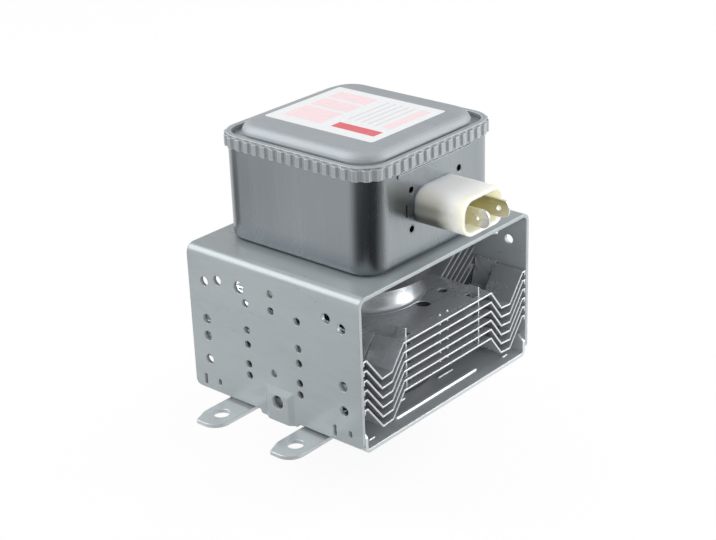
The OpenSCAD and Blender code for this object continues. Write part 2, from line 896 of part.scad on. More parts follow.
module filter_lid() {
    skirt_z = rim_top - skirt_h;
    shoulder_z = rim_top - flute_shoulder - lid_t;
    trough_z = rim_top - lid_trough;
    top_z = rim_top + lid_rise;
    middle = lid_t / 2;
    roll = lid_roll - middle;
    plateau = concat(
        [[-middle, trough_z + middle]],
        arc([-plateau_lean - lid_roll, top_z - lid_roll], roll, 0, 90, 6),
        [[-plateau_corner + lid_t, top_z - middle]]);
    color(BARE_STEEL) {
        translate([0, 0, skirt_z])
            linear_extrude(skirt_h - flute_shoulder)
                difference() {
                    polygon(flutes(0));
                    polygon(flutes(lid_t));
                }
        translate([0, 0, shoulder_z])
            linear_extrude(lid_t)
                difference() {
                    polygon(flutes(0));
                    skirt_outline(lid_t);
                }
        translate([0, 0, shoulder_z])
            linear_extrude(rim_top - shoulder_z)
                difference() {
                    skirt_outline(rim_draw);
                    skirt_outline(lid_t);
                }
        translate([0, 0, case_top])
            linear_extrude(lid_t)
                difference() {
                    skirt_outline(rim_draw);
                    rounded(lid_wall_x - lid_t, lid_wall_y - lid_t, lid_wall_corner - lid_t);
                }
        translate([0, 0, trough_z])
            linear_extrude(lid_trough)
                difference() {
                    rounded(lid_wall_x, lid_wall_y, lid_wall_corner);
                    rounded(lid_wall_x - lid_t, lid_wall_y - lid_t, lid_wall_corner - lid_t);
                }
        translate([0, 0, trough_z])
            linear_extrude(lid_t)
                difference() {
                    rounded(lid_wall_x - lid_t / 2, lid_wall_y - lid_t / 2, lid_wall_corner - lid_t / 2);
                    rounded(plateau_x - lid_t / 2, plateau_y - lid_t / 2, plateau_corner - lid_t / 2);
                }
        around(plateau_x, plateau_y, plateau_corner)
            polygon(folded(plateau, lid_t));
        translate([0, 0, top_z - lid_t])
            linear_extrude(lid_t)
                square(2 * [plateau_x - plateau_corner + 2 * lid_t, plateau_y - plateau_corner + 2 * lid_t],
                       center = true);
        translate([0, 0, top_z - lid_t])
            linear_extrude(lid_t)
                rounded(plateau_x - plateau_lean - lid_roll, plateau_y - plateau_lean - lid_roll,
                        plateau_corner - plateau_lean - lid_roll);
    }
}

module case_rivets() {
    color(NICKEL)
    at_corners(rivet_x, rivet_x) {
        translate([0, 0, roof_z - rivet_head])
            cylinder(d = rivet_head_d, h = rivet_head);
        translate([0, 0, roof_z - rivet_head / 2])
            cylinder(d = rivet_d, h = yoke_t + case_t + rivet_head);
        translate([0, 0, case_z + case_t])
            cylinder(d = rivet_head_d, h = rivet_head);
    }
}

// Connector and feed-through capacitor

module facing(y, length) {
    translate([0, y, terminal_z])
        rotate([90, 0, 0])
            linear_extrude(length)
                children();
}

module terminal_slots(grow) {
    for (x = [-1, 1])
        translate([x * tab_span / 2, 0])
            square([tab_t + grow, tab_w + grow], center = true);
}

module connector_housing() {
    color(IVORY)
    difference() {
        union() {
            facing(front_out, shroud_len)
                rounded(shroud_w / 2, shroud_h / 2, shroud_corner);
            facing(shroud_in, shroud_in - front_out + through)
                rounded(shroud_plug_w / 2, shroud_plug_h / 2, shroud_corner - shroud_lip);
        }
        facing(front_out - shroud_floor, shroud_len)
            rounded(shroud_w / 2 - shroud_wall, shroud_h / 2 - shroud_wall, shroud_corner - shroud_wall);
        facing(shroud_in + through, shroud_len)
            terminal_slots(fit);
    }
}

module ground_flange() {
    color(NICKEL)
    difference() {
        union() {
            facing(flange_back, flange_sheet)
                rounded(flange_w / 2, flange_h / 2, flange_corner);
            facing(flange_back - flange_sheet / 2, flange_sheet / 2 + case_t)
                at_eyelets()
                    circle(d = eyelet_d);
        }
        facing(flange_back + through, flange_sheet + case_t + 2 * through) {
            rounded(shroud_plug_w / 2 + fit, shroud_plug_h / 2 + fit, shroud_corner - shroud_lip + fit);
            at_eyelets()
                circle(d = eyelet_bore);
        }
    }
}

module capacitor_block() {
    color(CERAMIC)
    difference() {
        facing(capacitor_back, capacitor_len)
            rounded(capacitor_w / 2, capacitor_h / 2, capacitor_h / 2 - fit);
        facing(capacitor_back + through, capacitor_len + 2 * through)
            terminal_slots(fit);
    }
}

// A spade terminal with a rounded nose and a locking hole, through housing and capacitor
module terminal(side) {
    length = tab_end_y - tab_tip_y;
    color(NICKEL)
    translate([side * tab_span / 2 - tab_t / 2, tab_tip_y, terminal_z])
        rotate([90, 0, 90])
            linear_extrude(tab_t)
                difference() {
                    union() {
                        translate([tab_nose, -tab_w / 2])
                            square([length - tab_nose, tab_w]);
                        translate([0, tab_nose - tab_w / 2])
                            square([2 * tab_nose, tab_w - 2 * tab_nose]);
                        for (end = [-1, 1])
                            translate([tab_nose, end * (tab_w / 2 - tab_nose)])
                                circle(tab_nose);
                    }
                    translate([tab_hole_back, 0])
                        circle(d = tab_hole_d);
                }
}

// A choke: lead from the terminal, close turns, lead to the stem
function coil_path(side) =
    let (x = side * coil_x,
         steps = coil_turns * ring_steps,
         tab = [side * (tab_span / 2 + tab_t / 2 + wire_r), tab_end_y - 2, terminal_z],
         turns = [for (i = [0:steps])
             let (a = 360 * i / ring_steps)
             [x - side * coil_r * cos(a), coil_start_y + coil_pitch * i / ring_steps,
              coil_z + coil_r * sin(a)]],
         stem = [side * stem_plate_len, 0, stem_top + stem_plate_t + wire_r])
    concat([tab, tab + [side * 1.5, 4, 0]], turns,
           [stem + [side * 4, 3, 1], stem + [side * 1.5, 0, 0], stem - [side * 2, 0, 0]]);

module choke_coil(side) {
    color(COPPER)
    wire(coil_path(side), wire_r, wire_sides);
}

module choke_core(side) {
    color(FERRITE)
    translate([side * coil_x, coil_end_y + core_over, coil_z])
        rotate([90, 0, 0])
            cylinder(d = core_d, h = coil_end_y - coil_start_y + 2 * core_over);
}

// Anode

module anode_shell() {
    color(COPPER)
    translate([0, 0, anode_z])
        difference() {
            cylinder(r = anode_r, h = anode_top - anode_z);
            translate([0, 0, -through])
                cylinder(r = bore_r, h = anode_top - anode_z + 2 * through);
            for (z = [-through, anode_top - anode_z - pole_seat])
                translate([0, 0, z])
                    cylinder(r = pole_seat_r, h = pole_seat + through);
        }
}

module anode_vane(index) {
    odd = index % 2 == 1;
    color(COPPER)
    rotate([0, 0, 360 * index / VANES])
        difference() {
            intersection() {
                translate([vane_tip_r, -vane_t / 2, vane_z])
                    cube([bore_r, vane_t, vane_h]);
                cylinder(r = bore_r, h = anode_top);
            }
            rotate_notch(inner_strap_r, odd);
            rotate_notch(outer_strap_r, !odd);
        }
}

// A notch bounded by circles round the tube axis, as the straps are
module rotate_notch(r, brazed) {
    clear = brazed ? 0 : strap_clear;
    depth = strap_depth + clear;
    for (z = [vane_z - through, vane_top - depth])
        translate([0, 0, z])
            tube(r + strap_w + clear, strap_w + 2 * clear, depth + through);
}

module strap(r, z) {
    color(COPPER)
    translate([0, 0, z])
        tube(r + strap_w, strap_w, strap_t);
}

// Pole piece, drawn for the lower end: a funnel that leads the field to the vane tips
module pole_section() {
    nose = vane_z - pole_gap - anode_z;
    rotate_extrude()
        polygon([[pole_hole_r, nose], [pole_hole_r, nose - pole_t], [pole_nose_r - pole_t, nose - pole_t],
                 [bore_r - 2.4, pole_seat - pole_t], [pole_seat_r - fit / 2, pole_seat - pole_t],
                 [pole_seat_r - fit / 2, pole_seat], [bore_r - 2, pole_seat], [pole_nose_r, nose]]);
}

module lower_pole_piece() {
    color(NICKEL)
    difference() {
        translate([0, 0, anode_z])
            pole_section();
        translate([aerial_lead_x, 0, anode_z])
            cylinder(r = aerial_lead_w, h = anode_mid - anode_z);
    }
}

module upper_pole_piece() {
    color(NICKEL)
    translate([0, 0, anode_top])
        mirror([0, 0, 1])
            pole_section();
}

// Seal cup: a flange welded to the end of the anode, a neck and a lip for the ceramic
module seal_cup(flange_z, end, lip_r) {
    outward = sign(end - flange_z);
    neck = abs(end - flange_z);
    color(NICKEL)
    translate([0, 0, flange_z])
        mirror([0, 0, outward > 0 ? 0 : 1])
            rotate_extrude()
                polygon([[neck_r - neck_wall, 0], [anode_r, 0], [anode_r, flange_t], [neck_r, flange_t],
                         [neck_r, neck], [lip_r, neck], [lip_r, neck - neck_wall],
                         [neck_r - neck_wall, neck - neck_wall]]);
}

// Cathode

function filament_path() =
    let (steps = filament_turns * ring_steps,
         low = lower_hat_top + filament_wire_r + fit / 2,
         high = upper_hat_z - filament_wire_r - fit / 2)
    [for (i = [0:steps])
        let (a = 360 * i / ring_steps)
        [filament_r * cos(a), filament_r * sin(a), low + (high - low) * i / steps]];

module filament() {
    color(TUNGSTEN)
    wire(filament_path(), filament_wire_r, wire_sides);
}

module lower_end_hat() {
    color(TUNGSTEN)
    translate([0, 0, lower_hat_top - hat_t])
        difference() {
            cylinder(r = hat_r, h = hat_t);
            translate([0, 0, -through])
                cylinder(r = lead_r, h = hat_t + 2 * through);
        }
}

module upper_end_hat() {
    color(TUNGSTEN)
    translate([0, 0, upper_hat_z])
        difference() {
            cylinder(r = hat_r, h = hat_t);
            translate([0, 0, -through])
                cylinder(r = 2 * lead_r, h = hat_t + 2 * through);
        }
}

module lead(x, from, to) {
    color(TUNGSTEN)
    translate([x, 0, from])
        cylinder(r = lead_r, h = to - from);
}

module stem_ceramic() {
    color(CERAMIC)
    translate([0, 0, cathode_neck_top])
        difference() {
            cylinder(r = stem_r, h = stem_h);
            for (x = [0, side_lead_x])
                translate([x, 0, -through])
                    cylinder(r = lead_r + fit / 2, h = stem_h + 2 * through);
        }
}

// A plate on the ceramic that joins a lead to its choke
module stem_terminal(x, side) {
    edge = side > 0 ? side_lead_x - 2 * lead_r : 2 * lead_r;
    color(NICKEL)
    translate([0, 0, stem_top])
        difference() {
            translate([side > 0 ? edge : edge - stem_plate_len - 2 * lead_r, -stem_plate_w / 2, 0])
                cube([stem_plate_len + (side > 0 ? 0 : 2 * lead_r), stem_plate_w, stem_plate_t]);
            translate([x, 0, -through])
                cylinder(r = lead_r, h = stem_plate_t + 2 * through);
        }
}

// Aerial

// A copper strip from a vane's edge, through the pole piece, down the tube axis
module aerial_lead() {
    color(COPPER)
    rotate([90, 0, 0])
        linear_extrude(aerial_lead_w, center = true)
            polygon(folded([[aerial_lead_x, vane_z], [aerial_lead_x, aerial_bend_z], [0, aerial_axis_z],
                            [0, cap_z + cap_h - exhaust_len + pinch_h]], aerial_lead_t));
}

module aerial_ceramic() {
    color(CERAMIC)
    translate([0, 0, aerial_ceramic_z])
        tube(aerial_ceramic_d / 2, aerial_ceramic_d / 2 - exhaust_r - 1.5, aerial_ceramic_h);
}

// The copper tube that is pinched shut on the aerial lead
module exhaust_tube() {
    color(COPPER)
    translate([0, 0, aerial_ceramic_z]) {
        translate([0, 0, -exhaust_wall])
            tube(cap_r - cap_wall - fit, cap_r - cap_wall - fit - exhaust_r + exhaust_wall, exhaust_wall);
        translate([0, 0, -exhaust_len])
            tube(exhaust_r, exhaust_wall, exhaust_len);
        translate([0, 0, -exhaust_len])
            cylinder(r = exhaust_r, h = pinch_h);
    }
}

module aerial_cap() {
    color(NICKEL)
    translate([0, 0, cap_z])
        rotate_extrude()
            difference() {
                cap_section(cap_r, 0, cap_round);
                cap_section(cap_r - cap_wall, cap_wall, cap_round - cap_wall);
            }
}

module cap_section(r, from, bend) {
    translate([0, from])
        square([r - bend, cap_h - from]);
    translate([0, from + bend])
        square([r, cap_h - from - bend]);
    translate([r - bend, from + bend])
        circle(bend);
}

// Pressed ring that centres the gasket round the neck
module gasket_retainer() {
    color(NICKEL)
    rotate_extrude()
        polygon([[neck_r + fit, 0], [neck_r + fit, -retainer_wall],
                 [retainer_r - retainer_wall, -retainer_wall],
                 [retainer_r - retainer_wall, -gasket_t], [retainer_r, -gasket_t], [retainer_r, 0]]);
}

module mesh_gasket() {
    color(NICKEL)
    translate([0, 0, -gasket_t])
        rotate_extrude()
            translate([retainer_r + fit, 0])
                square([gasket_d / 2 - retainer_r - fit, gasket_t]);
}

yoke_bracket();
mounting_plate();
magnet(upper_magnet_z);  // upper_magnet
magnet(lower_magnet_z);  // lower_magnet
for (i = [1:FINS]) cooling_fin(i);
filter_case();
filter_lid();
case_rivets();
connector_housing();
ground_flange();
capacitor_block();
terminal(-1);  // left_terminal
terminal(1);  // right_terminal
choke_coil(-1);  // left_choke_coil
choke_coil(1);  // right_choke_coil
choke_core(-1);  // left_choke_core
choke_core(1);  // right_choke_core
anode_shell();
for (i = [1:VANES]) anode_vane(i);
strap(inner_strap_r, vane_top - strap_depth);  // upper_inner_strap
strap(outer_strap_r, vane_top - strap_depth);  // upper_outer_strap
strap(inner_strap_r, vane_z + strap_depth - strap_t);  // lower_inner_strap
strap(outer_strap_r, vane_z + strap_depth - strap_t);  // lower_outer_strap
upper_pole_piece();
lower_pole_piece();
seal_cup(anode_top, cathode_neck_top, neck_r - neck_lip);  // cathode_seal_cup
seal_cup(anode_z, aerial_neck_z, neck_r - neck_lip);  // aerial_seal_cup
filament();
upper_end_hat();
lower_end_hat();
lead(0, lower_hat_top - hat_t, stem_top + stem_plate_t);  // centre_lead
lead(side_lead_x, upper_hat_z + hat_t, stem_top + stem_plate_t);  // side_lead
stem_ceramic();
stem_terminal(0, -1);  // centre_stem_terminal
stem_terminal(side_lead_x, 1);  // side_stem_terminal
aerial_lead();
aerial_ceramic();
exhaust_tube();
aerial_cap();
gasket_retainer();
mesh_gasket();
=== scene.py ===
"""Finishes for a packaged oven magnetron, with its label and its top fin's flare, in a white studio."""

import json
import math

import bmesh
import bpy
from mathutils import Matrix, Vector


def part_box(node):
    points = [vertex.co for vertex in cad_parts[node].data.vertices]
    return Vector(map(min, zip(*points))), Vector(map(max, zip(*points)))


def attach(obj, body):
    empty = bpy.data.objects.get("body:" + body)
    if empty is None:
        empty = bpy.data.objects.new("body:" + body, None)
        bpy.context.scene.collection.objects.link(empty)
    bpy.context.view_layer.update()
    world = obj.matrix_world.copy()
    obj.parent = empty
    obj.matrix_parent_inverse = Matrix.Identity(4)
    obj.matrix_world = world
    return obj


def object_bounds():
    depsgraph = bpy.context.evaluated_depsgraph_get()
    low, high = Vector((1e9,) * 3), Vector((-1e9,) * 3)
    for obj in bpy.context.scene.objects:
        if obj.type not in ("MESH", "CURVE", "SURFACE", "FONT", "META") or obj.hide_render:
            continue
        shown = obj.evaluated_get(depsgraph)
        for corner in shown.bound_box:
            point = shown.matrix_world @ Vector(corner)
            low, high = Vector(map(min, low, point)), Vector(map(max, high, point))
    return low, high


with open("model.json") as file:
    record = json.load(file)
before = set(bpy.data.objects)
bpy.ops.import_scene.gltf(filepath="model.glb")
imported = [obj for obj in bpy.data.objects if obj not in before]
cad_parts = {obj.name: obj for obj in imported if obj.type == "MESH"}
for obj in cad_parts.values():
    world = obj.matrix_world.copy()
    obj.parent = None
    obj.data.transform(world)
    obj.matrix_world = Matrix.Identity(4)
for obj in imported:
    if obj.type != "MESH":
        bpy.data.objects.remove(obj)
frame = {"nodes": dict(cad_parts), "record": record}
CAD_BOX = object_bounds()

bl_info = {
    "name": "Oven magnetron finishes",
    "version": (1, 0, 0),
    "blender": (4, 5, 0),
    "location": "View3D > Sidebar > Magnetron",
    "description": "Finishes a packaged magnetron: plated sheet, fins, filter box, connector and label",
    "category": "Object",
}

MM = 0.001

# Most of a noise's values lie between these: a lively grain, and the softer cloud of paper and plastic
GRAIN_LOW, GRAIN_HIGH = 0.35, 0.65
CLOUD_LOW, CLOUD_HIGH = 0.3, 0.7
# Share of the fine streaks in the pattern of a rolled sheet, beside its broad bands
STREAK_SHARE = 0.4
# Depth of the streaks in millimetres
STREAK_DEPTH = 0.05
# Cosine of the turn from the true to the softened surface at which an edge is fully brightened, as rubbing wear
# and as a painted highlight
WEAR_AND_HIGHLIGHT_TURN = 0.9
# Share of open sky over a fold where its painted shade starts and where it is full, and how near its walls are
# in millimetres
RECESS_SHADE_START, RECESS_SHADE_FULL, RECESS_SHADE_REACH = 0.95, 0.5, 2.0


def linear(hex_colour):
    """Linear RGBA of an sRGB hex colour."""
    parts = [int(hex_colour[i:i + 2], 16) / 255 for i in (1, 3, 5)]
    return tuple(c / 12.92 if c <= 0.04045 else ((c + 0.055) / 1.055) ** 2.4 for c in parts) + (1.0,)


def per_mm(size):
    """Texture scale that gives a pattern of this size in millimetres."""
    return 1 / (size * MM)


def add(tree, kind, values=None, links=None, steps=(), **settings):
    """Adds a node with its settings, the steps of its colour ramp, socket values and incoming links.

    A socket goes by its name, or by its number where several share one. A step is a position and a colour.
    """
    made = tree.nodes.new(kind)
    for name, value in settings.items():
        setattr(made, name, value)
    if steps:
        for element, (position, colour) in zip(made.color_ramp.elements, steps):
            element.position = position
            element.color = colour
    for socket, value in (values or {}).items():
        made.inputs[socket].default_value = value
    for socket, source in (links or {}).items():
        tree.links.new(source, made.inputs[socket])
    return made


def blank(name):
    """An empty node material, its tree, and the object's own coordinates in metres."""
    material = bpy.data.materials.new(name)
    material.use_nodes = True
    tree = material.node_tree
    tree.nodes.clear()
    place = add(tree, "ShaderNodeTexCoord").outputs["Object"]
    return material, tree, place


def rubbed_and_highlit_edge(tree, radius, strength):
    """Edges softened by a radius in millimetres, as a normal, and their wear and painted highlight, up to
    strength.
    """
    rounded = add(tree, "ShaderNodeBevel", {"Radius": radius * MM}, samples=4).outputs["Normal"]
    facing = add(tree, "ShaderNodeNewGeometry").outputs["Normal"]
    turn = add(tree, "ShaderNodeVectorMath", links={0: rounded, 1: facing}, operation="DOT_PRODUCT")
    wear_and_highlight_level = add(tree, "ShaderNodeMapRange", {"From Min": 1.0, "From Max": WEAR_AND_HIGHLIGHT_TURN, "To Max": strength},
               {"Value": turn.outputs["Value"]})
    return rounded, wear_and_highlight_level.outputs["Result"]


def rolled_sheet(name, dark, light, roughness, spread, grain, bands, stretch, edge, wear_and_highlight_level=0.35, metallic=1.0,
                 relief=0.006, painted_recess_shade=0.0):
    """Rolled, drawn or pressed sheet: broad bands and fine streaks along the way it was worked, edges with wear
    and a painted highlight.

    The roughness goes up and down by spread. grain and bands are the spacings of the streaks and bands in
    millimetres, and stretch is how much longer they are along each axis. edge is the radius of the edges in
    millimetres, and wear_and_highlight_level how bright their wear and painted highlight are. relief is the
    strength of the streaks, and painted_recess_shade the share of tone that deep folds lose to painted shade.
    Real rolling marks are finer than a tenth of a millimetre, and the streaks are as coarse as they need to be
    to show.
    """
    material, tree, place = blank(name)
    along = add(tree, "ShaderNodeMapping", {"Scale": tuple(1 / s for s in stretch)}, {"Vector": place})
    broad = add(tree, "ShaderNodeTexNoise", {"Scale": per_mm(bands), "Detail": 3.0, "Roughness": 0.55},
                {"Vector": along.outputs["Vector"]})
    streaks = add(tree, "ShaderNodeTexNoise", {"Scale": per_mm(grain), "Detail": 4.0, "Roughness": 0.6},
                  {"Vector": along.outputs["Vector"]})
    mixed = add(tree, "ShaderNodeMix", {0: STREAK_SHARE},
                {2: broad.outputs["Fac"], 3: streaks.outputs["Fac"]}).outputs[0]
    colour = add(tree, "ShaderNodeValToRGB", links={"Fac": mixed},
                 steps=((GRAIN_LOW, dark), (GRAIN_HIGH, light))).outputs["Color"]
    # Edges brighten as they turn: partly rubbing wear, partly a painted highlight.
    rounded, wear_and_highlight_share = rubbed_and_highlit_edge(tree, edge, wear_and_highlight_level)
    bright = add(tree, "ShaderNodeValToRGB", links={"Fac": mixed},
                 steps=((0.0, linear("#e4e8eb")), (1.0, linear("#f4f6f8")))).outputs["Color"]
    colour = add(tree, "ShaderNodeMix", links={0: wear_and_highlight_share, 6: colour, 7: bright}, data_type="RGBA").outputs[2]
    # Deep folds lose tone to a painted shade where little sky reaches them.
    if painted_recess_shade:
        sky = add(tree, "ShaderNodeAmbientOcclusion", {"Distance": RECESS_SHADE_REACH * MM}, samples=8).outputs["AO"]
        recess_shade_share = add(tree, "ShaderNodeMapRange",
                   {"From Min": RECESS_SHADE_START, "From Max": RECESS_SHADE_FULL, "To Max": painted_recess_shade},
                   {"Value": sky}).outputs["Result"]
        recess_shade_tone = add(tree, "ShaderNodeValToRGB", links={"Fac": mixed},
                   steps=((0.0, linear("#2c2e31")), (1.0, linear("#3a3c40")))).outputs["Color"]
        colour = add(tree, "ShaderNodeMix", links={0: recess_shade_share, 6: colour, 7: recess_shade_tone}, data_type="RGBA").outputs[2]
    rough = add(tree, "ShaderNodeMapRange",
                {"From Min": GRAIN_LOW, "From Max": GRAIN_HIGH, "To Min": roughness - spread,
                 "To Max": roughness + spread}, {"Value": mixed})
    bump = add(tree, "ShaderNodeBump", {"Strength": relief, "Distance": STREAK_DEPTH * MM},
               {"Height": streaks.outputs["Fac"], "Normal": rounded})
    shader = add(tree, "ShaderNodeBsdfPrincipled", {"Metallic": metallic},
                 {"Base Color": colour, "Roughness": rough.outputs["Result"],
                  "Normal": bump.outputs["Normal"]})
    add(tree, "ShaderNodeOutputMaterial", links={"Surface": shader.outputs["BSDF"]})
    return material


def moulded_shroud(name, outside, root, inside, deep, box, corner):
    """Moulded translucent plastic: pale outside, greyed by painted shade at its root, amber where light soaks
    into its mouth, painted as tone.

    box is the shroud's lowest and highest corner, and corner the radius of its outline.
    """
    material, tree, place = blank(name)
    low, high = box
    middle = (low + high) / 2
    half = (high - low) / 2

    # How far a point is out from the core of the rounded outline, which has no end along Y. The outside tone
    # ends within the wall, where the inside tone starts.
    core = (half.x - corner, 1.0, half.z - corner)
    skin, wall = 0.3 * MM, 1.0 * MM
    offset = add(tree, "ShaderNodeVectorMath", {1: middle}, {0: place}, operation="SUBTRACT").outputs[0]
    folded = add(tree, "ShaderNodeVectorMath", links={0: offset}, operation="ABSOLUTE").outputs[0]
    beyond = add(tree, "ShaderNodeVectorMath", {1: core}, {0: folded}, operation="SUBTRACT").outputs[0]
    beyond = add(tree, "ShaderNodeVectorMath", {1: (0, 0, 0)}, {0: beyond}, operation="MAXIMUM").outputs[0]
    out = add(tree, "ShaderNodeVectorMath", links={0: beyond}, operation="LENGTH").outputs["Value"]
    within = add(tree, "ShaderNodeMapRange", {"From Min": corner - skin, "From Max": corner - wall},
                 {"Value": out}).outputs["Result"]

    # The way from the lip, 0, to the root, 1, a little mottled by the flow of the plastic in the mould
    mottling, flow_mark = 0.12, 4
    run = add(tree, "ShaderNodeSeparateXYZ", links={0: place}).outputs["Y"]
    run = add(tree, "ShaderNodeMapRange", {"From Min": low.y, "From Max": high.y},
              {"Value": run}).outputs["Result"]
    mottle = add(tree, "ShaderNodeTexNoise", {"Scale": per_mm(flow_mark), "Detail": 3.0},
                 {"Vector": place}).outputs["Fac"]
    run = add(tree, "ShaderNodeMix", {0: mottling}, {2: run, 3: mottle}).outputs[0]

    # Outside, painted shade greys the plastic towards its root, least on the faces that look up
    root_shade_start, root_shade_full, upward_shade_share = 0.1, 0.52, 0.2
    facing = add(tree, "ShaderNodeNewGeometry").outputs["Normal"]
    facing = add(tree, "ShaderNodeSeparateXYZ", links={0: facing}).outputs["Z"]
    sideways = add(tree, "ShaderNodeMapRange", {"From Min": 0.95, "From Max": -0.3, "To Min": upward_shade_share},
                   {"Value": facing}).outputs["Result"]
    depth = add(tree, "ShaderNodeMapRange", {"From Min": root_shade_start, "From Max": root_shade_full}, {"Value": run},
                interpolation_type="SMOOTHSTEP").outputs["Result"]
    depth = add(tree, "ShaderNodeMath", links={0: depth, 1: sideways}, operation="MULTIPLY").outputs[0]
    pale = add(tree, "ShaderNodeValToRGB", links={"Fac": depth},
               steps=((0.0, outside), (1.0, root))).outputs["Color"]

    # The lip shows the warm tone of the mouth, as painted light that comes through it
    lip_end, lip_full, lip_share = 0.26, 0.04, 0.9
    lip = add(tree, "ShaderNodeMapRange", {"From Min": lip_end, "From Max": lip_full, "To Max": lip_share},
              {"Value": run}).outputs["Result"]
    warm = add(tree, "ShaderNodeValToRGB", links={"Fac": mottle},
               steps=((CLOUD_LOW, inside), (CLOUD_HIGH, deep))).outputs["Color"]
    pale = add(tree, "ShaderNodeMix", links={0: lip, 6: pale, 7: warm}, data_type="RGBA").outputs[2]
    # Within the wall, painted light of the mouth: the inside tone, darkening to the deep tone towards the root
    # as painted shade.
    amber_start, amber_full = 0.1, 0.75
    amber = add(tree, "ShaderNodeValToRGB", links={"Fac": run},
                steps=((amber_start, inside), (amber_full, deep))).outputs["Color"]
    colour = add(tree, "ShaderNodeMix", links={0: within, 6: pale, 7: amber}, data_type="RGBA").outputs[2]

    # The eroded grit of the mould is finer than this, and is drawn coarse enough to show
    spark = add(tree, "ShaderNodeTexNoise", {"Scale": per_mm(0.5), "Detail": 2.0}, {"Vector": place})
    rounded = add(tree, "ShaderNodeBevel", {"Radius": 0.25 * MM}, samples=4)
    bump = add(tree, "ShaderNodeBump", {"Strength": 0.1, "Distance": 0.04 * MM},
               {"Height": spark.outputs["Fac"], "Normal": rounded.outputs["Normal"]})
    shader = add(tree, "ShaderNodeBsdfPrincipled",
                 {"Roughness": 0.36, "IOR": 1.54, "Subsurface Weight": 1.0, "Subsurface Scale": 6.0 * MM,
                  "Subsurface Radius": (1.0, 0.9, 0.55)},
                 {"Base Color": colour, "Normal": bump.outputs["Normal"]})
    add(tree, "ShaderNodeOutputMaterial", links={"Surface": shader.outputs["BSDF"]})
    return material


def grained_solid(name, dark, light, grit, roughness, metallic, depth):
    """Sintered, fired or drawn stuff: a two-tone grit with a bump to match, drawn coarse enough to show.

    grit and depth are in millimetres.
    """
    material, tree, place = blank(name)
    grain = add(tree, "ShaderNodeTexNoise", {"Scale": per_mm(grit), "Detail": 5.0, "Roughness": 0.65},
                {"Vector": place}).outputs["Fac"]
    colour = add(tree, "ShaderNodeValToRGB", links={"Fac": grain},
                 steps=((GRAIN_LOW, dark), (GRAIN_HIGH, light))).outputs["Color"]
    bump = add(tree, "ShaderNodeBump", {"Strength": 0.25, "Distance": depth * MM}, {"Height": grain})
    shader = add(tree, "ShaderNodeBsdfPrincipled", {"Metallic": metallic, "Roughness": roughness},
                 {"Base Color": colour, "Normal": bump.outputs["Normal"]})
    add(tree, "ShaderNodeOutputMaterial", links={"Surface": shader.outputs["BSDF"]})
    return material


def knitted_wire(name, dark, light, pitch):
    """Knitted wire: crossing waves at the wire's spacing in millimetres, drawn coarse enough to show."""
    material, tree, place = blank(name)
    scale = per_mm(pitch) / math.tau
    waves = [add(tree, "ShaderNodeTexWave", {"Scale": scale, "Distortion": 1.5, "Detail": 1.0},
                 {"Vector": place}, bands_direction=way).outputs["Fac"] for way in ("X", "Y", "Z")]
    crossing = add(tree, "ShaderNodeMath", links={0: waves[0], 1: waves[1]}, operation="MAXIMUM").outputs[0]
    crossing = add(tree, "ShaderNodeMath", links={0: crossing, 1: waves[2]}, operation="MULTIPLY").outputs[0]
    colour = add(tree, "ShaderNodeValToRGB", links={"Fac": crossing},
                 steps=((0.1, dark), (0.8, light))).outputs["Color"]
    bump = add(tree, "ShaderNodeBump", {"Strength": 0.8, "Distance": 0.3 * MM}, {"Height": crossing})
    shader = add(tree, "ShaderNodeBsdfPrincipled", {"Metallic": 1.0, "Roughness": 0.38},
                 {"Base Color": colour, "Normal": bump.outputs["Normal"]})
    add(tree, "ShaderNodeOutputMaterial", links={"Surface": shader.outputs["BSDF"]})
    return material


def paper(name, face, fibre, roughness):
    """Coated paper, bare or printed: an even tone with a faint cloud of its fibre."""
    material, tree, place = blank(name)
    cloud = add(tree, "ShaderNodeTexNoise", {"Scale": per_mm(1.5), "Detail": 4.0}, {"Vector": place})
    colour = add(tree, "ShaderNodeValToRGB", links={"Fac": cloud.outputs["Fac"]},
                 steps=((CLOUD_LOW, fibre), (CLOUD_HIGH, face))).outputs["Color"]
    shader = add(tree, "ShaderNodeBsdfPrincipled", {"Roughness": roughness, "IOR": 1.5},
                 {"Base Color": colour})
    add(tree, "ShaderNodeOutputMaterial", links={"Surface": shader.outputs["BSDF"]})
    return material


def dress(slot, material):
    """Puts a finish on every part of a slot."""
    for row in frame["record"]["subparts"]:
        if row["material_slot"] == slot:
            mesh = frame["nodes"][row["node"]].data
            mesh.materials.clear()
            mesh.materials.append(material)


def mesh_object(name, bm, materials):
    """Makes a mesh object of a bmesh."""
    mesh = bpy.data.meshes.new(name)
    bm.to_mesh(mesh)
    bm.free()
    for material in materials:
        mesh.materials.append(material)
    made = bpy.data.objects.new(name, mesh)
    bpy.context.scene.collection.objects.link(made)
    return made


def flared_collar(name, inner, outer, foot, top, sheet, material):
    """A collar of sheet round Z, which rises in a quarter curve from radius outer at foot to inner at top."""
    steps, turns = 16, 96
    wide, tall = outer - inner, top - foot
    face, back = [], []
    for step in range(steps + 1):
        turn = math.radians(90 * step / steps)
        point = Vector((outer - wide * math.sin(turn), top - tall * math.cos(turn)))
        inward = Vector((-math.sin(turn) / wide, -math.cos(turn) / tall)).normalized()
        face.append(point)
        back.append(point + sheet * inward)
    ring = face + back[::-1]
    bm = bmesh.new()
    rows = []
    for index in range(turns):
        turn = 2 * math.pi * index / turns
        rows.append([bm.verts.new((r * math.cos(turn), r * math.sin(turn), z)) for r, z in ring])
    for index in range(turns):
        here, there = rows[index], rows[(index + 1) % turns]
        for k in range(len(ring)):
            following = (k + 1) % len(ring)
            patch = bm.faces.new((here[k], there[k], there[following], here[following]))
            # The two cut edges of the sheet stay sharp
            patch.smooth = k not in (steps, len(ring) - 1)
    bmesh.ops.recalc_face_normals(bm, faces=bm.faces)
    return mesh_object(name, bm, [material])


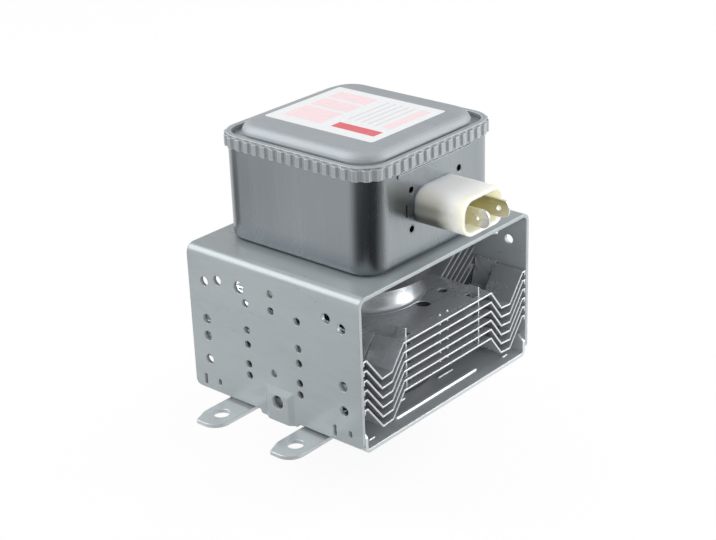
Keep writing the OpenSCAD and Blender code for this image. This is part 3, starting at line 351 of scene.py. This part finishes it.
def tone(name, description, default):
    """A colour property with an sRGB hex default."""
    return bpy.props.FloatVectorProperty(name=name, description=description, default=linear(default), size=4,
                                         min=0.0, max=1.0, subtype="COLOR")


def length(name, description, default):
    """A length property with a default in millimetres."""
    return bpy.props.FloatProperty(name=name, description=description, default=default * MM, unit="LENGTH")


def power(name, default):
    """A lamp's power."""
    return bpy.props.FloatProperty(name=name, description="Power in watts", default=default, min=0.0,
                                   unit="POWER")


def level(name, description, default):
    """A level of light, where 1 is white."""
    return bpy.props.FloatProperty(name=name, description=description, default=default, min=0.0)


class SheetLook(bpy.types.PropertyGroup):
    """Tones of the plated and rolled sheet, and the flare of the top fin."""
    zinc_dark: tone("Zinc, dark", "Darker tone of the zinc plate", "#989fa2")
    zinc_light: tone("Zinc, light", "Lighter tone of the zinc plate", "#a0a7aa")
    # The mounting plate's tones are paler than the yoke's zinc as painted light.
    plate_dark: tone("Plate, dark", "Darker tone of the mounting plate", "#c3c9cb")
    plate_light: tone("Plate, light", "Lighter tone of the mounting plate", "#ccd1d3")
    case_dark: tone("Case, dark", "Darker tone of the drawn case", "#8e9498")
    case_light: tone("Case, light", "Lighter tone of the drawn case", "#949a9e")
    lid_dark: tone("Lid, dark", "Darker tone of the lid", "#a1a6aa")
    lid_light: tone("Lid, light", "Lighter tone of the lid", "#aab0b4")
    fin_dark: tone("Fin, dark", "Darker tone of the fin sheet", "#c0c4c8")
    fin_light: tone("Fin, light", "Lighter tone of the fin sheet", "#c8ccd0")
    flare_foot: length("Flare foot", "Top face of the highest fin, above the anode's lower end", 18.6)
    flare_reach: length("Flare reach", "How far the top fin's flare reaches out", 3.4)
    flare_gap: length("Flare gap", "Gap between the anode and the flare's inner edge", 0.35)
    flare_sheet: length("Flare sheet", "Sheet thickness of the flare", 0.2)
    flare_drop: length("Flare drop", "How far the flare's upper edge lies below the anode's rim", 0.2)


class ConnectorLook(bpy.types.PropertyGroup):
    """Tones of the connector's plastic."""
    outside: tone("Outside", "Plastic outside", "#eeefeb")
    # Root: painted shade on the plastic where it meets the case.
    root: tone("Root", "Plastic where it meets the case", "#4e5250")
    # Inside and Deep: painted light soaking into the mouth, darker at its bottom as painted shade.
    inside: tone("Inside", "Plastic in the mouth", "#fff8de")
    deep: tone("Deep", "Plastic at the bottom of the mouth", "#f5e7b0")
    corner: length("Corner", "Corner radius of the shroud", 5.5)


class LabelLook(bpy.types.PropertyGroup):
    """The paper label on the lid."""
    width: length("Width", "Label width across the yoke", 40)
    depth: length("Depth", "Label length along the air flow", 48.8)
    centre_x: length("Centre X", "Label centre across the yoke", 1.2)
    centre_y: length("Centre Y", "Label centre along the air flow", 1.7)
    corner: length("Corner", "Radius of the label's corners", 1.2)
    lift: length("Thickness", "Paper thickness", 0.06)
    ink: length("Ink", "Thickness of the print", 0.01)
    white: tone("Paper", "Bare paper", "#e6e7e8")
    rose: tone("Fields", "Blank printed fields", "#edd7da")
    red: tone("Bar", "Printed bar", "#d9686f")
    grey: tone("Rules", "Printed rules", "#c3c6ca")


class StudioLook(bpy.types.PropertyGroup):
    """Camera and light."""
    lens: bpy.props.FloatProperty(name="Lens", description="Focal length in millimetres", default=79.76,
                                  unit="CAMERA")
    fill: level("Fill", "Level of the even light from all round", 0.8)
    sky: level("Sky", "Level of the sky that plated faces reflect", 0.72)
    back_power: power("Back softbox", 2.6)
    side_power: power("Side softbox", 2.4)
    front_power: power("Front softbox", 4.0)
    left_power: power("Left softbox", 3.3)
    card: length("Dark card", "Reach of the dark card that the plated case reflects", 420)
    front_card: level("Front card", "Level of the bright card in front", 1.2)
    bend_card: level("Bend card", "Level of the bright card that folds reflect", 4.4)
    shadow: bpy.props.FloatProperty(name="Shadow", description="Share of the floor that takes the shadow",
                                    default=0.1, min=0.0, max=1.0, subtype="FACTOR")


class MAGNETRON_OT_yoke(bpy.types.Operator):
    """Zinc plate on the yoke and the mounting plate"""
    bl_idname = "magnetron.yoke"
    bl_label = "Finish yoke and mounting plate"

    def execute(self, context):
        look = context.scene.magnetron_sheet
        # Zinc-plated rolled steel: a cool even grey with a soft sheen and faint clouds of the plating.
        dress("yoke_zinc", rolled_sheet(
            "zinc_plated_steel", look.zinc_dark, look.zinc_light, roughness=0.3, spread=0.03, grain=1.6,
            bands=18.0, stretch=(1, 5, 1), edge=0.7, wear_and_highlight_level=0.15, metallic=0.26))
        # The mounting plate's zinc is set paler than the yoke's: painted light on its shaded feet and floor.
        dress("plate_zinc", rolled_sheet(
            "pale_zinc_plated_steel", look.plate_dark, look.plate_light, roughness=0.3, spread=0.03,
            grain=1.6, bands=18.0, stretch=(1, 5, 1), edge=0.5, wear_and_highlight_level=0.3, metallic=0.6))
        return {"FINISHED"}


class MAGNETRON_OT_fins(bpy.types.Operator):
    """Rolled aluminium on the fins and the top fin's flare, plate on the anode, ferrite on the magnets"""
    bl_idname = "magnetron.fins"
    bl_label = "Finish fins, anode and magnets"

    def execute(self, context):
        look = context.scene.magnetron_sheet
        # Mill-finish aluminium sheet: bright, with short streaks along the roll and clear reflections.
        aluminium = rolled_sheet(
            "rolled_aluminium", look.fin_dark, look.fin_light, roughness=0.26, spread=0.02, grain=1.2,
            bands=9.0, stretch=(10, 1, 1), edge=0.35, wear_and_highlight_level=0.9, metallic=0.7, relief=0.004)
        dress("fin_aluminium", aluminium)
        low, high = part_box("anode_shell")
        radius = (high.x - low.x) / 2 + look.flare_gap
        flare = flared_collar("top_fin_flare", radius, radius + look.flare_reach, low.z + look.flare_foot,
                              high.z - look.flare_drop, look.flare_sheet, aluminium)
        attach(flare, "root")
        # Plated copper: polished, grey and slightly warm.
        dress("anode_copper", rolled_sheet(
            "plated_copper", linear("#bcbfc2"), linear("#c6c9cc"), roughness=0.26, spread=0.02, grain=0.4,
            bands=8.0, stretch=(1, 1, 1), edge=0.2, wear_and_highlight_level=0.0, metallic=0.85, relief=0.005))
        # Sintered ferrite: near black, matt, with a sandy grit.
        ferrite = grained_solid("sintered_ferrite", linear("#2c2c2f"), linear("#424347"), grit=0.7,
                                roughness=0.62, metallic=0.0, depth=0.05)
        dress("magnet_ferrite", ferrite)
        dress("core_ferrite", ferrite)
        return {"FINISHED"}


class MAGNETRON_OT_filter_box(bpy.types.Operator):
    """Bright plated steel on the drawn case and its lid"""
    bl_idname = "magnetron.filter_box"
    bl_label = "Finish filter box"

    def execute(self, context):
        look = context.scene.magnetron_sheet
        # Drawn steel, plated bright: upright drawing streaks and blurred reflections.
        dress("case_steel", rolled_sheet(
            "drawn_plated_steel", look.case_dark, look.case_light, roughness=0.27, spread=0.01, grain=1.5,
            bands=12.0, stretch=(1, 1, 14), edge=0.2, wear_and_highlight_level=0.3, relief=0.003))
        # The lid is of the same steel with a softer, satin face, and its folds are darkened with painted shade.
        dress("lid_steel", rolled_sheet(
            "satin_plated_steel", look.lid_dark, look.lid_light, roughness=0.62, spread=0.03, grain=1.2,
            bands=14.0, stretch=(1, 5, 1), edge=0.4, wear_and_highlight_level=0.8, metallic=0.7, relief=0.01, painted_recess_shade=0.5))
        return {"FINISHED"}


class MAGNETRON_OT_connector(bpy.types.Operator):
    """Ivory plastic and tinned tabs"""
    bl_idname = "magnetron.connector"
    bl_label = "Finish connector"

    def execute(self, context):
        look = context.scene.magnetron_connector
        # Moulded polyester, unfilled: milky ivory with a low sheen, amber in the depth of the mouth.
        dress("ivory_plastic", moulded_shroud(
            "moulded_polyester", look.outside, look.root, look.inside, look.deep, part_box("connector_housing"),
            look.corner))
        # Tinned brass: pale grey with a faint warm cast, and soft wear and a painted highlight on its edges.
        dress("tinned_brass", rolled_sheet(
            "tinned_brass", linear("#cbc8bf"), linear("#dcd9d0"), roughness=0.26, spread=0.04, grain=0.8,
            bands=5.0, stretch=(1, 6, 1), edge=0.15))
        return {"FINISHED"}


class MAGNETRON_OT_inner_parts(bpy.types.Operator):
    """Finishes on the tube, the chokes, the aerial and the gasket"""
    bl_idname = "magnetron.inner_parts"
    bl_label = "Finish inner parts and aerial"

    def execute(self, context):
        # Plated pressed steel: even pale grey, satin.
        dress("plain_steel", rolled_sheet(
            "plated_pressed_steel", linear("#8b8c8e"), linear("#9fa0a1"), roughness=0.34, spread=0.05,
            grain=0.4, bands=8.0, stretch=(1, 1, 1), edge=0.15))
        # Fired alumina: off-white, smooth, faintly speckled.
        dress("white_ceramic", grained_solid("fired_alumina", linear("#e2ddd6"), linear("#efebe5"), grit=0.6,
                                             roughness=0.38, metallic=0.0, depth=0.02))
        # Bare drawn copper: warm, softly clouded.
        dress("copper", grained_solid("bare_copper", linear("#a9653e"), linear("#c98a60"), grit=2.0,
                                      roughness=0.3, metallic=1.0, depth=0.01))
        # Drawn tungsten and molybdenum: dark grey metal.
        dress("tungsten", grained_solid("drawn_tungsten", linear("#5b5d61"), linear("#76787c"), grit=0.4,
                                        roughness=0.42, metallic=1.0, depth=0.01))
        # Knitted wire gasket: a dull, crossed weave of bright and shaded wire.
        dress("wire_mesh", knitted_wire("knitted_wire", linear("#6f6b60"), linear("#c3bcab"), pitch=0.9))
        return {"FINISHED"}


def rounded_outline(width, depth, corner, steps=6):
    """Points of a rounded rectangle round the origin, counter-clockwise."""
    points = []
    for quarter in range(4):
        sx = 1 if quarter in (0, 3) else -1
        sy = 1 if quarter < 2 else -1
        centre = Vector((sx * (width / 2 - corner), sy * (depth / 2 - corner)))
        for step in range(steps + 1):
            turn = math.radians(90 * quarter + 90 * step / steps)
            points.append(centre + corner * Vector((math.cos(turn), math.sin(turn))))
    return points


# Print of the label, in millimetres round its middle: low x, high x, low y, high y
FIELDS = ((-15, -3, 3, 20), (-1, 7, 3, 20), (9, 16, 3, 20), (-6, 16, -21, -17))
BARS = ((-15, -10, -21, -2),)
RULES = tuple((-6, 16, y, y + 0.4) for y in (-14.5, -11.5, -8.5, -5.5, -2.5))


class MAGNETRON_OT_label(bpy.types.Operator):
    """The paper label on the raised middle of the lid"""
    bl_idname = "magnetron.label"
    bl_label = "Add label"

    def execute(self, context):
        look = context.scene.magnetron_label
        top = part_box("filter_lid")[1].z
        centre = Vector((look.centre_x, look.centre_y))
        bm = bmesh.new()
        outline = rounded_outline(look.width, look.depth, look.corner)
        face = bm.faces.new([bm.verts.new((*(p + centre), top)) for p in outline])
        raised = bmesh.ops.extrude_face_region(bm, geom=[face])["geom"]
        upper = [v for v in raised if isinstance(v, bmesh.types.BMVert)]
        bmesh.ops.translate(bm, vec=(0, 0, look.lift), verts=upper)
        bmesh.ops.recalc_face_normals(bm, faces=bm.faces)
        height = top + look.lift + look.ink
        for index, patches in enumerate((FIELDS, BARS, RULES), start=1):
            for x0, x1, y0, y1 in patches:
                corners = ((x0, y0), (x1, y0), (x1, y1), (x0, y1))
                patch = bm.faces.new([bm.verts.new((*(Vector(c) * MM + centre), height)) for c in corners])
                patch.material_index = index
        # Coated paper: an even greyish white. The print is matt ink in plain fields, a bar and rules.
        label = mesh_object("lid_label", bm, [
            paper("coated_paper", look.white, linear("#dfe1e2"), roughness=0.45),
            paper("rose_ink", look.rose, linear("#e8cfd3"), roughness=0.55),
            paper("red_ink", look.red, linear("#cf5d65"), roughness=0.5),
            paper("grey_ink", look.grey, linear("#b9bcc0"), roughness=0.55),
        ])
        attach(label, "root")
        return {"FINISHED"}


# The studio, in metres round the foot of the tube's axis
FLOOR_REACH = 3.0
CARD_LIFT = 0.002
LAMP_AIM = Vector((0, 0, 0.05))
BEHIND_LEFT = Vector((-0.45, 0.65, 0.75))
# Softboxes: name, place, edge length, and whether plated faces mirror them
SOFTBOXES = (
    ("back", BEHIND_LEFT, 0.45, False),
    ("side", Vector((0.75, -0.45, 0.65)), 0.65, True),
    ("front", Vector((0.6, -0.75, 0.15)), 0.6, True),
    ("left", Vector((-0.5, -0.8, 0.35)), 0.6, False),
)
CAMERA_PLACE = Vector((-0.39226, -0.34309, 0.27252))
CAMERA_RIGHT = Vector((0.6493, -0.7599, -0.0314))
CAMERA_UP = Vector((0.3276, 0.2422, 0.9132))


def square_card(name, reach, height, material):
    """A flat square stage piece, which goes out by reach to each side of the origin."""
    bm = bmesh.new()
    corners = ((-reach, -reach), (reach, -reach), (reach, reach), (-reach, reach))
    bm.faces.new([bm.verts.new((x, y, height)) for x, y in corners])
    card = mesh_object(name, bm, [material])
    return card


def soft_card(name, spot, reach, lean, kind, values):
    """A round card with a soft edge, lying on the floor or leaning, which only reflections see."""
    material, tree, place = blank(name)
    inward = add(tree, "ShaderNodeMapping", {"Scale": (1 / reach,) * 3}, {"Vector": place}).outputs["Vector"]
    inward = add(tree, "ShaderNodeTexGradient", links={"Vector": inward},
                 gradient_type="SPHERICAL").outputs["Fac"]
    share = add(tree, "ShaderNodeMapRange", {"From Max": 0.5}, {"Value": inward},
                interpolation_type="SMOOTHSTEP").outputs["Result"]
    clear = add(tree, "ShaderNodeBsdfTransparent").outputs[0]
    surface = add(tree, kind, values).outputs[0]
    shader = add(tree, "ShaderNodeMixShader", links={0: share, 1: clear, 2: surface})
    add(tree, "ShaderNodeOutputMaterial", links={"Surface": shader.outputs["Shader"]})
    card = square_card(name, reach, 0.0, material)
    card.location = spot
    card.rotation_euler = lean
    card.visible_camera = False
    card.visible_diffuse = False
    card.visible_shadow = False


def seen_share(tree, share):
    """share where the camera, a reflection or a clear material looks, and 0 for the light that falls."""
    path = add(tree, "ShaderNodeLightPath").outputs
    seen = add(tree, "ShaderNodeMath", links={0: path["Is Camera Ray"], 1: path["Is Glossy Ray"]},
               operation="MAXIMUM").outputs[0]
    seen = add(tree, "ShaderNodeMath", links={0: seen, 1: path["Is Transmission Ray"]},
               operation="MAXIMUM").outputs[0]
    return add(tree, "ShaderNodeMapRange", {"To Max": share}, {"Value": seen}).outputs["Result"]


class MAGNETRON_OT_stage(bpy.types.Operator):
    """White floor, soft light and the camera"""
    bl_idname = "magnetron.stage"
    bl_label = "Set up studio"

    def execute(self, context):
        look = context.scene.magnetron_studio
        scene = context.scene
        scene.view_settings.view_transform = "Standard"

        # Even light from all round: white to the camera, a little greyer in the reflections of plated faces.
        world = bpy.data.worlds.new("white_studio")
        scene.world = world
        world.use_nodes = True
        tree = world.node_tree
        tree.nodes.clear()
        path = add(tree, "ShaderNodeLightPath").outputs
        strength = add(tree, "ShaderNodeMapRange", {"To Min": look.fill, "To Max": look.sky},
                       {"Value": path["Is Glossy Ray"]}).outputs["Result"]
        strength = add(tree, "ShaderNodeMix", {3: 1.0}, {0: path["Is Camera Ray"], 2: strength}).outputs[0]
        light = add(tree, "ShaderNodeBackground", {"Color": (1, 1, 1, 1)}, {"Strength": strength})
        add(tree, "ShaderNodeOutputWorld", links={"Surface": light.outputs["Background"]})

        # White sweep: it shows as white, and a share of it is matt paint that takes the object's shadow.
        sweep, tree, _ = blank("white_sweep")
        paint = add(tree, "ShaderNodeBsdfDiffuse", {"Color": linear("#f4f4f4")}).outputs[0]
        glow = add(tree, "ShaderNodeEmission", {"Strength": 1.0}).outputs[0]
        share = seen_share(tree, 1 - look.shadow)
        shader = add(tree, "ShaderNodeMixShader", links={0: share, 1: paint, 2: glow})
        add(tree, "ShaderNodeOutputMaterial", links={"Surface": shader.outputs["Shader"]})
        floor_z = CAD_BOX[0].z
        square_card("floor", FLOOR_REACH, floor_z, sweep)

        # Cards that the plated case, the fins and the folds reflect: dark on the floor before the near corner
        # and further ahead, grey to the left, bright before the connector and behind the left bend, and dark
        # upright ahead of the left front. Their reach is a share of the dark card's.
        dark = ("ShaderNodeBsdfDiffuse", {"Color": linear("#26282a")})
        grey = ("ShaderNodeBsdfDiffuse", {"Color": linear("#606264")})
        front_glow = ("ShaderNodeEmission", {"Strength": look.front_card})
        bend_glow = ("ShaderNodeEmission", {"Strength": look.bend_card})
        low = floor_z + CARD_LIFT
        lying = (0.0, 0.0, 0.0)
        upright = (math.radians(90), 0.0, math.radians(-23))
        facing = (-BEHIND_LEFT).to_track_quat("Z", "Y").to_euler()
        for name, spot, share, lean, surface in (
            ("near_card", (-0.25, -0.26, low), 1.0, lying, dark),
            ("left_card", (-0.16, 0.29, low), 0.32, lying, grey),
            ("ahead_card", (-0.05, -0.5, low + MM), 0.76, lying, dark),
            ("front_card", (0.28, -0.245, low), 0.8, lying, front_glow),
            ("bend_card", BEHIND_LEFT, 1.4, facing, bend_glow),
            ("upright_card", (-0.32, -0.75, 0.26), 1.2, upright, dark),
        ):
            soft_card(name, spot, share * look.card, lean, *surface)

        for name, spot, edge, mirrored in SOFTBOXES:
            lamp = bpy.data.lights.new(name + "_softbox", "AREA")
            lamp.energy = getattr(look, name + "_power")
            lamp.size = edge
            holder = bpy.data.objects.new(name + "_softbox", lamp)
            holder.location = spot
            holder.visible_glossy = mirrored
            holder.rotation_euler = (LAMP_AIM - spot).to_track_quat("-Z", "Y").to_euler()
            scene.collection.objects.link(holder)

        camera = bpy.data.cameras.new("photo_camera")
        camera.lens = look.lens
        camera.sensor_width = 36.0
        camera.clip_start, camera.clip_end = 0.01, 20.0
        holder = bpy.data.objects.new("photo_camera", camera)
        back = CAMERA_RIGHT.cross(CAMERA_UP).normalized()
        upward = back.cross(CAMERA_RIGHT).normalized()
        turn = Matrix((CAMERA_RIGHT.normalized(), upward, back)).transposed().to_4x4()
        holder.matrix_world = Matrix.Translation(CAMERA_PLACE) @ turn
        scene.collection.objects.link(holder)
        scene.camera = holder
        return {"FINISHED"}


STEPS = ("yoke", "fins", "filter_box", "connector", "inner_parts", "label", "stage")
GROUPS = {"magnetron_sheet": SheetLook, "magnetron_connector": ConnectorLook, "magnetron_label": LabelLook,
          "magnetron_studio": StudioLook}


class MAGNETRON_PT_finishes(bpy.types.Panel):
    """Lists the steps and the sizes and tones they use"""
    bl_idname = "MAGNETRON_PT_finishes"
    bl_label = "Magnetron"
    bl_space_type = "VIEW_3D"
    bl_region_type = "UI"
    bl_category = "Magnetron"

    def draw(self, context):
        for name in GROUPS:
            group = getattr(context.scene, name)
            box = self.layout.box()
            for prop in group.__annotations__:
                box.prop(group, prop)
        for step in STEPS:
            self.layout.operator("magnetron." + step)


CLASSES = (*GROUPS.values(), MAGNETRON_OT_yoke, MAGNETRON_OT_fins, MAGNETRON_OT_filter_box,
           MAGNETRON_OT_connector, MAGNETRON_OT_inner_parts, MAGNETRON_OT_label, MAGNETRON_OT_stage,
           MAGNETRON_PT_finishes)


def register():
    for cls in CLASSES:
        bpy.utils.register_class(cls)
    for name, group in GROUPS.items():
        setattr(bpy.types.Scene, name, bpy.props.PointerProperty(type=group))


def unregister():
    for name in GROUPS:
        delattr(bpy.types.Scene, name)
    for cls in reversed(CLASSES):
        bpy.utils.unregister_class(cls)


def main():
    register()
    for step in STEPS:
        getattr(bpy.ops.magnetron, step)()


if __name__ == "__main__":
    main()
